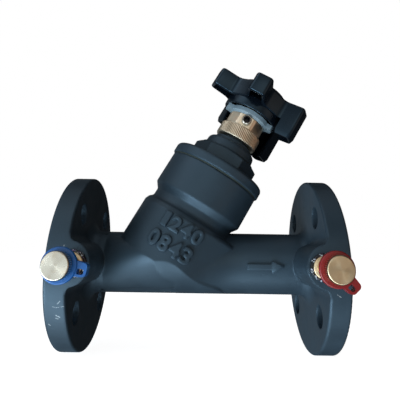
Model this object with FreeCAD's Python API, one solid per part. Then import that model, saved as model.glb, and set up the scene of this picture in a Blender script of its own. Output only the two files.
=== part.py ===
import FreeCAD, Part
import math
import os

# Flanged Y-pattern balancing valve with a leaning bonnet, a lobed handwheel and two pressure test points.
# Millimetres. The origin is the centre of the inlet's raised face, +X runs with the flow, +Z is up,
# and the bonnet leans towards the outlet in the XZ plane. The test points look along -Y.

os.makedirs("parts", exist_ok=True)

V = FreeCAD.Vector

# Flanges and pipe runs
LENGTH = 180.0
FLANGE_D = 115.0
FLANGE_T = 13.0
FLANGE_EDGE = 1.2
FACE_D = 68.0
FACE_H = 2.0
BOLT_PCD = 85.0
BOLT_COUNT = 4
BOLT_HOLE_D = 14.0
BORE_D = 25.0
PIPE_D = 40.8
HUB_FILLET = 7.0

# Bonnet axis: where it crosses the pipe axis, and how far it leans from vertical
CROSS_X = 64.5
LEAN = 30.0

# Chamber and neck of the casting, along the bonnet axis
CHAMBER_D = 69.0
CHAMBER_TOP = 34.0
CHAMBER_WALL = 8.5
LEG_START = 27.0
CHAMBER_EDGE = 3.0
POCKET_REACH = 49.0
BELLY_D = 76.0
FLARE_START = 74.5
FLARE_BEND = 104.0
FLARE_SLOPE = 0.42
FLARE_ROUND = 70.0
GROOVE_DEPTH = 3.75
GROOVE_LOW = 38.0
GROOVE_HIGH = 42.0
HEAD_WALL = 7.2
HEAD_LOW = 49.0
HEAD_TOP = 70.5

# Seat
SEAT_BORE_D = 23.0
SEAT_TOP = 15.0
SEAT_H = 5.0
SEAT_WALL = 3.0
SEAT_LIP = 0.8

# Bonnet
THREAD_D = 54.0
THREAD_LENGTH = 20.0
BRIM_D = 70.6
BRIM_H = 7.6
BRIM_ROUND = 2.6
GASKET_T = 0.8
HEX_AF = 43.5
HEX_H = 10.5
BOOT_D = 37.0
BOOT_H = 7.5
SPIGOT_D = 22.0
SPIGOT_H = 9.0
NECK_D = 30.0
NECK_H = 2.6
GUIDE_D = 34.0
GUIDE_LENGTH = 10.0
GUIDE_AF = 20.0
GUIDE_DEPTH = 25.0
O_RING_T = 2.4

# Stem and cone
STEM_D = 12.0
STEM_THREAD_D = 10.0
STEM_COLLAR_D = 18.0
STEM_COLLAR_H = 3.0
STEM_RING_T = 1.8
DRIVE_AF = 9.0
DRIVE_LENGTH = 10.0
WASHER_T = 1.5
CARRIER_D = 30.0
CARRIER_T = 4.0
CARRIER_LENGTH = 31.0
CONE_SEAL_T = 2.0
CONE_SEAL_W = 4.0
CONE_LENGTH = 7.5
CONE_TIP_D = 16.0
CONE_SPIGOT_D = 15.0
CONE_SCREW_D = 6.0
CONE_SCREW_HEAD_D = 10.0
CONE_SCREW_HEAD_H = 3.0
LIFT = 10.0

# Lock collar and index ring
COLLAR_D = 31.6
COLLAR_H = 10.0
COLLAR_GAP = 1.4
FACET_AF = 27.6
FACET_COUNT = 8
FACET_H = 9.2
COLLAR_SCREW_D = 7.4
COLLAR_SCREW_OUT = 3.0
COLLAR_SCREW_EDGE = 4.0
INDEX_D = 31.0
INDEX_H = 4.6
INDEX_SEAT_D = 20.0
INDEX_SEAT_H = 2.0
EAR_REACH = 19.5
EAR_W = 9.0
EAR_ANGLE = 80.0

# Handwheel
WHEEL_LOBES = 5
WHEEL_TURN = -4.5
WHEEL_H = 14.4
LOBE_REACH = 38.0
LOBE_TIP_W = 12.4
VALLEY_R = 26.5
LOBE_CORNER = 2.6
VALLEY_ROUND = 6.0
WHEEL_EDGE = 1.4
WHEEL_WALL = 2.2
SKIRT_D = 43.0
SKIRT_H = 4.8
WHEEL_HUB_D = 26.0
CAP_D = 22.0
CAP_T = 2.0
WHEEL_SCREW_D = 5.0
WHEEL_SCREW_HEAD_D = 9.0
WHEEL_SCREW_LENGTH = 16.0
APRON_INSET = 1.6
APRON_WALL = 2.0
APRON_DROPS = {1: 11.5, 2: 24.5, 3: 12.5}
APRON_CORNER = 3.5
WHEEL_LOW_EDGE = 0.5

# Test points
TEST_X = 18.5
BOSS_X = 15.0
BOSS_R = 13.0
BOSS_FILLET = 4.5
TEST_BORE_D = 4.0
NIPPLE_D = 9.4
NIPPLE_THREAD_D = 11.5
NIPPLE_THREAD_L = 11.0
NIPPLE_OUT = 26.0
CORE_D = 5.6
CORE_L = 9.0
RING_D = 19.0
RING_TAPER = 2.0
RING_L = 8.0
RING_SEAT = 16.5
RING_WALL = 1.5
TAB_REACH = 14.6
TAB_W = 8.0
TAB_WALL = 1.4
TAB_T = 5.5
EYE_HIGH = 0.4
TEST_CAP_D = 14.4
TEST_CAP_OUT = 30.5
TEST_CAP_RIM = 5.5
TEST_CAP_SKIRT_D = 12.6
CAP_SEAL_T = 1.2

# Clearances
RUNNING = 0.06
LOOSE = 0.3
FIT = 0.05

# Places along the bonnet axis, measured from the crossing
BRIM_LOW = HEAD_TOP + GASKET_T
BRIM_TOP = BRIM_LOW + BRIM_H
HEX_TOP = BRIM_TOP + HEX_H + 0.6
BOOT_TOP = HEX_TOP + BOOT_H
NECK_TOP = BOOT_TOP + NECK_H
SPIGOT_TOP = NECK_TOP + SPIGOT_H
COLLAR_LOW = NECK_TOP + COLLAR_GAP
FACET_LOW = COLLAR_LOW + COLLAR_H
COLLAR_TOP = FACET_LOW + FACET_H
INDEX_TOP = COLLAR_TOP + INDEX_H
WHEEL_RIM_LOW = INDEX_TOP + LOOSE + SKIRT_H
WHEEL_TOP = WHEEL_RIM_LOW + WHEEL_H
SHANK_LOW = HEAD_TOP - THREAD_LENGTH
GUIDE_LOW = SHANK_LOW - GUIDE_LENGTH
STEM_COLLAR_LOW = SPIGOT_TOP - LOOSE - STEM_COLLAR_H
WASHER_LOW = STEM_COLLAR_LOW - WASHER_T
SEAL_LOW = SEAT_TOP + 0.2
CARRIER_LOW = SEAL_LOW + CONE_SEAL_T
CARRIER_TOP = CARRIER_LOW + CARRIER_LENGTH
STEM_LOW = CARRIER_LOW + CARRIER_T + LIFT + 3.0
GUIDE_TOP = GUIDE_LOW + GUIDE_DEPTH
DRIVE_TOP = WHEEL_RIM_LOW + DRIVE_LENGTH

HEAD_D = THREAD_D + 2 * HEAD_WALL
GROOVE_D = CHAMBER_D - 2 * GROOVE_DEPTH
PIPE_R = PIPE_D / 2
FLANGE_R = FLANGE_D / 2
BORE_R = BORE_D / 2
OUTLET_TURN_X = CROSS_X + (CHAMBER_D / 2 - CHAMBER_WALL + 2.0) / math.cos(math.radians(LEAN))


def rounded_outline(corners, place):
    """Closed wire through (u, v) or (u, v, radius) corners; place(u, v) gives each point in space."""
    count = len(corners)
    ends = []
    for i in range(count):
        u, v = corners[i][:2]
        radius = corners[i][2] if len(corners[i]) > 2 else 0.0
        here = V(u, v, 0)
        if not radius:
            ends.append((here, None, here))
            continue
        back = (V(*corners[i - 1][:2], 0) - here).normalize()
        ahead = (V(*corners[(i + 1) % count][:2], 0) - here).normalize()
        half = back.getAngle(ahead) / 2
        reach = radius / math.tan(half)
        bisector = (back + ahead).normalize()
        middle = here + bisector * (radius / math.sin(half) - radius)
        ends.append((here + back * reach, middle, here + ahead * reach))
    edges = []
    for i in range(count):
        start, middle, end = ends[i]
        if middle is not None:
            edges.append(Part.Arc(*[place(p.x, p.y) for p in (start, middle, end)]).toShape())
        follow = ends[(i + 1) % count][0]
        if (follow - end).Length > 1e-6:
            edges.append(Part.LineSegment(place(end.x, end.y), place(follow.x, follow.y)).toShape())
    return Part.Wire(edges)


def turned(corners):
    """Solid of revolution about +Z; corners are (radius, height[, rounding])."""
    wire = rounded_outline(corners, lambda u, v: V(u, 0, v))
    return Part.Face(wire).revolve(V(0, 0, 0), V(0, 0, 1), 360)


def plate(corners, low, high):
    """Prism along +Z over a closed outline in X and Y."""
    wire = rounded_outline(corners, lambda u, v: V(u, v, low))
    return Part.Face(wire).extrude(V(0, 0, high - low))


def rod(diameter, low, high, x=0.0, y=0.0):
    return Part.makeCylinder(diameter / 2, high - low, V(x, y, low), V(0, 0, 1))


def tube(outer_d, inner_d, low, high):
    return rod(outer_d, low, high).cut(rod(inner_d, low - 1, high + 1))


def prism(sides, across_flats, low, high, turn=0.0):
    """Regular prism along +Z; turn is the azimuth of its first corner in degrees."""
    radius = across_flats / 2 / math.cos(math.pi / sides)
    corners = []
    for i in range(sides):
        angle = math.radians(turn + 360.0 * i / sides)
        corners.append((radius * math.cos(angle), radius * math.sin(angle)))
    return plate(corners, low, high)


def ring_cord(centre_r, thickness, height):
    return Part.makeTorus(centre_r, thickness / 2, V(0, 0, height), V(0, 0, 1))


def turn_z(shape, degrees):
    copy = shape.copy()
    copy.rotate(V(0, 0, 0), V(0, 0, 1), degrees)
    return copy


def along_flow(shape):
    """From the drawing axis +Z to +X."""
    copy = shape.copy()
    copy.rotate(V(0, 0, 0), V(0, 1, 0), 90)
    return copy


def on_bonnet(shape):
    """From the drawing axis +Z to the bonnet axis; azimuth 0 is the downhill side, -90 looks along -Y."""
    copy = shape.copy()
    copy.rotate(V(0, 0, 0), V(0, 1, 0), LEAN)
    copy.translate(V(CROSS_X, 0, 0))
    return copy


def on_test_point(shape, x):
    """From the drawing axis +Z to -Y at a flange; height 0 is the pipe axis, +Y of the drawing is up."""
    copy = shape.copy()
    copy.rotate(V(0, 0, 0), V(1, 0, 0), 90)
    copy.translate(V(x, 0, 0))
    return copy


def mirrored(shape):
    return shape.mirror(V(LENGTH / 2, 0, 0), V(1, 0, 0))


def fused(shapes):
    whole = shapes[0].fuse(shapes[1:])
    return whole.removeSplitter()


def flange_and_pipe(run):
    """One flange with its raised face, hub fillet and a pipe run long, standing on +Z."""
    back = FACE_H + FLANGE_T
    return along_flow(turned([
        (0, 0),
        (FACE_D / 2, 0, 0.4),
        (FACE_D / 2, FACE_H),
        (FLANGE_R, FACE_H, FLANGE_EDGE),
        (FLANGE_R, back, FLANGE_EDGE),
        (PIPE_R, back, HUB_FILLET),
        (PIPE_R, run),
        (0, run),
    ]))


def test_boss():
    """Half-round boss behind the inlet flange's rim, blended into the flange's back face."""
    back = FACE_H + FLANGE_T
    step = BOSS_X - back
    centre = V(back + BOSS_FILLET, 0, 0)
    reach = math.sqrt((BOSS_R + BOSS_FILLET) ** 2 - (BOSS_FILLET - step) ** 2)
    points = []
    for side in (-1, 1):
        blend = V(centre.x, side * reach, 0)
        to_boss = (V(BOSS_X, 0, 0) - blend).normalize()
        halfway = (to_boss + V(-1, 0, 0)).normalize()
        points.append((V(back, side * reach, 0), blend + halfway * BOSS_FILLET, blend + to_boss * BOSS_FILLET))
    (foot_a, blend_a, join_a), (foot_b, blend_b, join_b) = points
    root_a = V(FACE_H + FLANGE_EDGE + 1, foot_a.y, 0)
    root_b = V(root_a.x, foot_b.y, 0)
    edges = [
        Part.LineSegment(root_a, foot_a).toShape(),
        Part.Arc(foot_a, blend_a, join_a).toShape(),
        Part.Arc(join_a, V(BOSS_X + BOSS_R, 0, 0), join_b).toShape(),
        Part.Arc(join_b, blend_b, foot_b).toShape(),
        Part.LineSegment(foot_b, root_b).toShape(),
        Part.LineSegment(root_b, root_a).toShape(),
    ]
    boss = Part.Face(Part.Wire(edges)).extrude(V(0, 0, FLANGE_R))
    rim = along_flow(rod(FLANGE_D, 0, LENGTH / 2))
    return on_test_point(boss, 0).common(rim)


def belly():
    """Cylinder along the flow that keeps the chamber, its leg and the flare flush with the pipe below."""
    shape = along_flow(rod(BELLY_D, 0, LENGTH))
    shape.translate(V(0, 0, BELLY_D / 2 - PIPE_R))
    return shape


def outlet_flare():
    """Outlet pipe opening out towards the chamber, cut off level with the chamber's top."""
    end = FLARE_BEND + FLARE_ROUND * FLARE_SLOPE
    shape = along_flow(turned([
        (0, FLARE_START),
        (PIPE_R + (FLARE_BEND - FLARE_START) * FLARE_SLOPE, FLARE_START),
        (PIPE_R, FLARE_BEND, FLARE_ROUND),
        (PIPE_R, end),
        (0, end),
    ]))
    below_top = on_bonnet(rod(3 * CHAMBER_D, -2 * CHAMBER_D, CHAMBER_TOP))
    return shape.common(belly()).common(below_top)


def chamber():
    """Chamber round the seat, drawn out towards the outlet, and trimmed flush with the pipe below."""
    radius = CHAMBER_D / 2
    tip_r = PIPE_R - 0.4
    tip = POCKET_REACH - tip_r
    lean = math.acos((radius - tip_r) / tip)
    touch = [V(radius * math.cos(lean), side * radius * math.sin(lean), 0) for side in (1, -1)]
    ends = [V(tip + tip_r * math.cos(lean), side * tip_r * math.sin(lean), 0) for side in (1, -1)]
    edges = [
        Part.Arc(touch[0], V(-radius, 0, 0), touch[1]).toShape(),
        Part.LineSegment(touch[1], ends[1]).toShape(),
        Part.Arc(ends[1], V(POCKET_REACH, 0, 0), ends[0]).toShape(),
        Part.LineSegment(ends[0], touch[0]).toShape(),
    ]
    body = Part.Face(Part.Wire(edges)).extrude(V(0, 0, CHAMBER_TOP))
    ridge = [e for e in body.Edges if abs(e.BoundBox.ZMin - CHAMBER_TOP) < 0.01]
    return on_bonnet(body.makeFillet(CHAMBER_EDGE, ridge)).common(belly())


def inlet_leg():
    """Flank that opens from the pipe to the chamber's foot."""
    pipe = Part.Wire(Part.makeCircle(PIPE_R, V(0, 0, 0), V(0, 0, 1)))
    pipe.rotate(V(0, 0, 0), V(1, 0, 1), 180)
    pipe.translate(V(LEG_START, 0, 0))
    foot = Part.Wire(Part.makeCircle(CHAMBER_D / 2, V(0, 0, 0), V(0, 0, 1)))
    foot.rotate(V(0, 0, 0), V(0, 0, 1), 180)
    foot = on_bonnet(foot)
    return Part.makeLoft([pipe, foot], True, True).common(belly())


def neck():
    """Round neck and socket head above the chamber."""
    return on_bonnet(turned([
        (0, CHAMBER_TOP - 6),
        (CHAMBER_D / 2 - 0.6, CHAMBER_TOP - 6),
        (CHAMBER_D / 2 - 0.6, CHAMBER_TOP, CHAMBER_EDGE + 0.5),
        (GROOVE_D / 2, GROOVE_LOW - 1.5, 3.0),
        (GROOVE_D / 2, GROOVE_HIGH, 2.0),
        (HEAD_D / 2, HEAD_LOW - 2.5, 2.5),
        (HEAD_D / 2, HEAD_TOP, 0.8),
        (0, HEAD_TOP),
    ]))


def body_bores():
    """Waterway, seat pocket, chamber, bonnet socket, bolt holes and test bores."""
    cavity_r = CHAMBER_D / 2 - CHAMBER_WALL
    thread_low = SHANK_LOW - 2.0
    inlet = along_flow(rod(BORE_D, -1, CROSS_X))
    outlet = along_flow(rod(BORE_D, OUTLET_TURN_X, LENGTH + 1))
    turn_in = Part.makeSphere(BORE_R, V(CROSS_X, 0, 0))
    turn_out = Part.makeSphere(BORE_R, V(OUTLET_TURN_X, 0, 0))
    rise = Part.makeCylinder(
        BORE_R,
        CHAMBER_TOP / 2 - 2,
        V(OUTLET_TURN_X, 0, 0),
        V(math.sin(math.radians(LEAN)), 0, math.cos(math.radians(LEAN))),
    )
    seat_od = SEAT_BORE_D + 2 * SEAT_WALL
    core = on_bonnet(turned([
        (0, 0),
        (SEAT_BORE_D / 2, 0),
        (SEAT_BORE_D / 2, SEAT_TOP - SEAT_H),
        (seat_od / 2, SEAT_TOP - SEAT_H),
        (seat_od / 2, SEAT_TOP - SEAT_LIP),
        (cavity_r, SEAT_TOP - SEAT_LIP, 3.0),
        (cavity_r, thread_low - 1.5),
        (THREAD_D / 2, thread_low),
        (THREAD_D / 2, HEAD_TOP + 1),
        (0, HEAD_TOP + 1),
    ]))
    bores = [inlet, outlet, turn_in, turn_out, rise, core]
    for i in range(BOLT_COUNT):
        angle = math.radians(360.0 * (i + 0.5) / BOLT_COUNT)
        y = BOLT_PCD / 2 * math.cos(angle)
        z = BOLT_PCD / 2 * math.sin(angle)
        for x in (-1, LENGTH - FACE_H - FLANGE_T - HUB_FILLET):
            bores.append(Part.makeCylinder(
                BOLT_HOLE_D / 2, FACE_H + FLANGE_T + HUB_FILLET + 1, V(x, y, z), V(1, 0, 0)))
    for x in (TEST_X, LENGTH - TEST_X):
        bores.append(on_test_point(rod(TEST_BORE_D, 0, FLANGE_R), x))
        bores.append(on_test_point(rod(NIPPLE_THREAD_D, FLANGE_R - NIPPLE_THREAD_L, FLANGE_R + 1), x))
    return bores


def valve_body():
    inlet_boss = test_boss()
    outer = fused([
        flange_and_pipe(LENGTH / 2),
        mirrored(flange_and_pipe(LENGTH / 2)),
        inlet_boss,
        mirrored(inlet_boss),
        chamber(),
        outlet_flare(),
        inlet_leg(),
        neck(),
    ])
    return outer.cut(body_bores())


def seat_ring():
    inner = SEAT_BORE_D / 2 - 0.5
    outer = SEAT_BORE_D / 2 + SEAT_WALL - FIT
    return on_bonnet(turned([
        (inner, SEAT_TOP - SEAT_H),
        (outer, SEAT_TOP - SEAT_H),
        (outer, SEAT_TOP - SEAT_LIP),
        (inner + 1.6, SEAT_TOP),
        (inner, SEAT_TOP, 0.5),
    ]))


def bonnet():
    """Screwed cover: guide, threaded shank, brim, hexagon, boot and spigot, bored for the stem."""
    shank_r = THREAD_D / 2 - FIT
    groove = SHANK_LOW + THREAD_LENGTH - O_RING_T - 2.0
    outside = turned([
        (0, GUIDE_LOW),
        (GUIDE_D / 2, GUIDE_LOW, 1.0),
        (GUIDE_D / 2, SHANK_LOW),
        (shank_r, SHANK_LOW, 1.0),
        (shank_r, groove),
        (shank_r - O_RING_T, groove),
        (shank_r - O_RING_T, groove + O_RING_T),
        (shank_r, groove + O_RING_T),
        (shank_r, BRIM_LOW),
        (BRIM_D / 2, BRIM_LOW, 0.8),
        (BRIM_D / 2, BRIM_TOP, BRIM_ROUND),
        (HEX_AF / 2 - 0.5, BRIM_TOP, 1.5),
        (HEX_AF / 2 - 0.5, HEX_TOP),
        (BOOT_D / 2 + 1.0, HEX_TOP),
        (BOOT_D / 2, BOOT_TOP, 3.0),
        (NECK_D / 2, BOOT_TOP, 0.6),
        (NECK_D / 2, NECK_TOP, 1.2),
        (SPIGOT_D / 2, NECK_TOP),
        (SPIGOT_D / 2, SPIGOT_TOP, 0.5),
        (0, SPIGOT_TOP),
    ])
    hexagon_crown = turned([
        (0, BRIM_TOP),
        (HEX_AF, BRIM_TOP),
        (HEX_AF, BRIM_TOP + 0.6),
        (HEX_AF / 2 + 3.6, HEX_TOP - 2.2, 3.0),
        (HEX_AF / 2 - 3.5, HEX_TOP + 0.6, 2.0),
        (0, HEX_TOP + 0.6),
    ])
    hexagon = prism(6, HEX_AF, BRIM_TOP + 0.6, HEX_TOP + 0.6).common(hexagon_crown)
    inside = [
        prism(6, GUIDE_AF + 2 * LOOSE, GUIDE_LOW - 1, GUIDE_TOP),
        rod(STEM_D + 2 * RUNNING, GUIDE_TOP - 1, SPIGOT_TOP + 1),
        rod(STEM_COLLAR_D + 2 * LOOSE, WASHER_LOW, SPIGOT_TOP + 1),
    ]
    return on_bonnet(fused([outside, hexagon]).cut(inside))


def bonnet_gasket():
    return on_bonnet(tube(HEAD_D - 1.0, THREAD_D + 1.0, HEAD_TOP, BRIM_LOW))


def bonnet_o_ring():
    """Square cord in the shank's groove."""
    groove = SHANK_LOW + THREAD_LENGTH - O_RING_T - 2.0
    inner = THREAD_D / 2 - FIT - O_RING_T
    return on_bonnet(tube(2 * inner + 2 * O_RING_T, 2 * inner + 0.2, groove + 0.1, groove + O_RING_T - 0.1))


def stem_ring_heights():
    return [HEX_TOP - 3.0, HEX_TOP + 4.0]


def stem():
    """Spindle: driving thread below, grooved journal, thrust collar, square drive on top."""
    journal_r = STEM_D / 2
    groove_r = journal_r - STEM_RING_T + 0.4
    corners = [
        (0, STEM_LOW),
        (STEM_THREAD_D / 2, STEM_LOW, 0.8),
        (STEM_THREAD_D / 2, GUIDE_TOP - 1.5),
        (journal_r, GUIDE_TOP),
    ]
    for height in stem_ring_heights():
        for r, h in ((journal_r, height - 1), (groove_r, height - 1), (groove_r, height + 1), (journal_r, height + 1)):
            corners.append((r, h))
    corners += [
        (journal_r, STEM_COLLAR_LOW),
        (STEM_COLLAR_D / 2, STEM_COLLAR_LOW),
        (STEM_COLLAR_D / 2, STEM_COLLAR_LOW + STEM_COLLAR_H, 0.4),
        (journal_r, STEM_COLLAR_LOW + STEM_COLLAR_H),
        (journal_r, WHEEL_RIM_LOW - 1.0),
        (0, WHEEL_RIM_LOW - 1.0),
    ]
    drive = prism(4, DRIVE_AF, WHEEL_RIM_LOW - 1.0, DRIVE_TOP, 45)
    screw_hole = rod(WHEEL_SCREW_D, DRIVE_TOP - WHEEL_SCREW_LENGTH, DRIVE_TOP + 1)
    return on_bonnet(fused([turned(corners), drive]).cut(screw_hole))


def stem_o_rings():
    """Two cord rings in the journal's grooves."""
    centre = STEM_D / 2 - STEM_RING_T / 2 + 0.4
    cord = 2 * (STEM_D / 2 + RUNNING / 2 - centre)
    return on_bonnet(Part.makeCompound([ring_cord(centre, cord, h) for h in stem_ring_heights()]))


def thrust_washer():
    return on_bonnet(tube(STEM_COLLAR_D, STEM_D + 2 * RUNNING, WASHER_LOW, STEM_COLLAR_LOW))


def cone_carrier():
    """Threaded slide that the stem lifts; its hexagon runs in the bonnet's guide."""
    disc = rod(CARRIER_D, CARRIER_LOW, CARRIER_LOW + CARRIER_T)
    slide = prism(6, GUIDE_AF, CARRIER_LOW + CARRIER_T - 1, CARRIER_TOP)
    nut = rod(STEM_THREAD_D + 2 * RUNNING, STEM_LOW - LIFT - 1.0, CARRIER_TOP + 1)
    socket = rod(CONE_SPIGOT_D, CARRIER_LOW - 1, CARRIER_LOW + 1.5)
    tapped = rod(CONE_SCREW_D, CARRIER_LOW - 1, STEM_LOW - LIFT)
    return on_bonnet(fused([disc, slide]).cut([nut, socket, tapped]))


def cone():
    """Throttling plug with a spigot that centres it in the carrier."""
    low = SEAL_LOW - CONE_LENGTH
    shape = turned([
        (CONE_SCREW_D / 2 + 0.2, low),
        (CONE_TIP_D / 2, low, 1.0),
        (SEAT_BORE_D / 2 - 0.5 - LOOSE, SEAL_LOW - 1.5),
        (SEAT_BORE_D / 2 - 0.5 - LOOSE, SEAL_LOW),
        (CONE_SPIGOT_D / 2 - FIT, SEAL_LOW),
        (CONE_SPIGOT_D / 2 - FIT, CARRIER_LOW + 1.4),
        (CONE_SCREW_D / 2 + 0.2, CARRIER_LOW + 1.4),
    ])
    return on_bonnet(shape)


def cone_seal():
    inner = CONE_SPIGOT_D / 2
    outer = SEAT_BORE_D / 2 + CONE_SEAL_W - 1.0
    return on_bonnet(tube(2 * outer, 2 * inner, SEAL_LOW, CARRIER_LOW))


def cone_screw():
    """Hexagon screw from below."""
    low = SEAL_LOW - CONE_LENGTH
    head = prism(6, CONE_SCREW_HEAD_D, low - CONE_SCREW_HEAD_H, low)
    shank = rod(CONE_SCREW_D - 2 * FIT, low - 0.5, STEM_LOW - LIFT - 1.5)
    return on_bonnet(fused([head, shank]))


def lock_collar():
    """Brass collar over the bonnet's spigot: knurled band below, facets above, seat for the index ring."""
    band = turned([
        (0, COLLAR_LOW),
        (COLLAR_D / 2, COLLAR_LOW, 0.7),
        (COLLAR_D / 2, FACET_LOW, 0.7),
        (0, FACET_LOW),
    ])
    facet_edge = turned([
        (0, FACET_LOW - 1),
        (FACET_AF / 2 + 0.7, FACET_LOW - 1),
        (FACET_AF / 2 + 0.7, COLLAR_TOP - 0.5),
        (FACET_AF / 2 - 0.2, COLLAR_TOP),
        (0, COLLAR_TOP),
    ])
    first_corner = -90 + 180.0 / FACET_COUNT
    facets = prism(FACET_COUNT, FACET_AF, FACET_LOW - 1, COLLAR_TOP, first_corner).common(facet_edge)
    seat = rod(INDEX_SEAT_D, COLLAR_TOP - 1, COLLAR_TOP + INDEX_SEAT_H)
    over_spigot = rod(SPIGOT_D + 2 * FIT, COLLAR_LOW - 1, SPIGOT_TOP)
    stem_way = rod(STEM_D + 2 * LOOSE, SPIGOT_TOP - 1, COLLAR_TOP + INDEX_SEAT_H + 1)
    screw_way = collar_screw_rod(COLLAR_SCREW_D, STEM_D / 2 + 2.0)
    return on_bonnet(fused([band, facets, seat]).cut([over_spigot, stem_way, screw_way]))


def collar_screw_rod(diameter, start):
    """Rod towards -Y at the facets' middle height, from a radius to the screw's outer end."""
    height = COLLAR_TOP - COLLAR_SCREW_EDGE
    length = FACET_AF / 2 + COLLAR_SCREW_OUT - start
    return Part.makeCylinder(diameter / 2, length, V(0, -start, height), V(0, -1, 0))


def collar_screw():
    """Socket set screw standing proud of one facet."""
    start = STEM_D / 2 + 2.0
    screw = collar_screw_rod(COLLAR_SCREW_D - 2 * FIT, start)
    end = FACET_AF / 2 + COLLAR_SCREW_OUT
    height = COLLAR_TOP - COLLAR_SCREW_EDGE
    socket = prism(6, COLLAR_SCREW_D * 0.5, 0, 4.0)
    socket.rotate(V(0, 0, 0), V(1, 0, 0), 90)
    socket.translate(V(0, -end + 3.2, height))
    edges = [e for e in screw.Edges if abs(e.CenterOfMass.y + end) < 0.01]
    return on_bonnet(screw.makeChamfer(0.6, edges).cut(socket))


def index_ring():
    """Plastic ring with two ears, pressed over the collar's seat."""
    ring = turned([
        (INDEX_SEAT_D / 2 + FIT, COLLAR_TOP),
        (INDEX_D / 2 - 1.2, COLLAR_TOP),
        (INDEX_D / 2, COLLAR_TOP + 1.6, 0.6),
        (INDEX_D / 2, INDEX_TOP),
        (INDEX_SEAT_D / 2 + FIT, INDEX_TOP),
    ])
    ears = []
    for side in (-1, 1):
        outer = turned([(0, COLLAR_TOP + 0.6), (EAR_REACH, COLLAR_TOP + 0.6, 0.8), (EAR_REACH, INDEX_TOP), (0, INDEX_TOP)])
        blade = plate([
            (INDEX_D / 2 - 3, -EAR_W / 2),
            (EAR_REACH + 2, -EAR_W / 2 + 1.5),
            (EAR_REACH + 2, EAR_W / 2 - 1.5),
            (INDEX_D / 2 - 3, EAR_W / 2),
        ], COLLAR_TOP, INDEX_TOP)
        ears.append(turn_z(blade.common(outer), -90 + side * EAR_ANGLE))
    return on_bonnet(fused([ring] + ears))


def star(reach, tip_w, valley_r, corner, valley_round):
    """Outline of the lobed wheel: two tip corners and one valley for each lobe."""
    corners = []
    for i in range(WHEEL_LOBES):
        middle = math.radians(-90 + WHEEL_TURN + 360.0 * i / WHEEL_LOBES)
        for side in (-1, 1):
            u = reach * math.cos(middle) - side * tip_w / 2 * math.sin(middle)
            v = reach * math.sin(middle) + side * tip_w / 2 * math.cos(middle)
            corners.append((u, v, corner))
        valley = middle + math.pi / WHEEL_LOBES
        corners.append((valley_r * math.cos(valley), valley_r * math.sin(valley), valley_round))
    return corners


def apron():
    """Wall that hangs below three of the lobes, inset from the rim, and deepest on the wheel's far side."""
    inset = APRON_INSET
    wall = APRON_WALL
    top = WHEEL_RIM_LOW + WHEEL_WALL
    low = WHEEL_RIM_LOW - max(APRON_DROPS.values())
    outer = plate(star(LOBE_REACH - inset, LOBE_TIP_W - 2 * inset * 0.6, VALLEY_R - inset * 1.2, 1.4,
                       VALLEY_ROUND + inset), low, top)
    inner = plate(star(LOBE_REACH - inset - wall, LOBE_TIP_W - 2 * (inset + wall) * 0.6,
                       VALLEY_R - (inset + wall) * 1.2, 0.6, VALLEY_ROUND + inset + wall), low - 1, top + 1)
    wall_all = outer.cut(inner)
    step = 180.0 / WHEEL_LOBES
    reach = 2 * LOBE_REACH
    half = VALLEY_R * math.sin(math.radians(step))
    panels = []
    for lobe, drop in APRON_DROPS.items():
        low = WHEEL_RIM_LOW - drop
        window = plate([
            (0, 0),
            (reach * math.cos(math.radians(step)), -reach * math.sin(math.radians(step))),
            (reach * math.cos(math.radians(step)), reach * math.sin(math.radians(step))),
        ], low, top)
        shield = Part.Face(rounded_outline([
            (-half, top),
            (-half, low, APRON_CORNER),
            (half, low, APRON_CORNER),
            (half, top),
        ], lambda u, v: V(0, u, v))).extrude(V(reach, 0, 0))
        panels.append(wall_all.common(turn_z(window.common(shield), -90 + WHEEL_TURN + 2 * step * lobe)))
    return fused(panels)


def handwheel():
    """Moulded wheel: hollow lobes open below, hub with a square hole, skirt and hanging apron."""
    low = WHEEL_RIM_LOW
    outside = plate(star(LOBE_REACH, LOBE_TIP_W, VALLEY_R, LOBE_CORNER, VALLEY_ROUND), low, WHEEL_TOP)
    top_edges = [e for e in outside.Edges if abs(e.BoundBox.ZMin - WHEEL_TOP) < 0.01]
    outside = outside.makeFillet(WHEEL_EDGE, top_edges)
    low_edges = [e for e in outside.Edges if abs(e.BoundBox.ZMax - low) < 0.01]
    outside = outside.makeFillet(WHEEL_LOW_EDGE, low_edges)
    wall = WHEEL_WALL
    hollow = plate(star(LOBE_REACH - wall, LOBE_TIP_W - 2 * wall * 0.85, VALLEY_R - wall * 1.2, 0.8,
                        VALLEY_ROUND + wall), low - 1, WHEEL_TOP - wall - 0.6)
    skirt = turned([
        (SKIRT_D / 2 - wall - 1.2, low - SKIRT_H, 0.5),
        (SKIRT_D / 2 - 1.2, low - SKIRT_H, 0.5),
        (SKIRT_D / 2, low + 1.0),
        (SKIRT_D / 2, WHEEL_TOP - wall),
        (SKIRT_D / 2 - wall, WHEEL_TOP - wall),
        (SKIRT_D / 2 - wall, low),
    ])
    hub = rod(WHEEL_HUB_D, low, WHEEL_TOP - 1)
    square = prism(4, DRIVE_AF + 2 * FIT, low - 1, DRIVE_TOP, 45)
    recess = rod(CAP_D, WHEEL_TOP - CAP_T, WHEEL_TOP + 1)
    head_well = rod(CAP_D - 3.0, DRIVE_TOP, WHEEL_TOP)
    shell = outside.cut(hollow)
    whole = fused([shell, skirt, hub, apron()])
    return on_bonnet(whole.cut([square, recess, head_well]))


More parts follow.
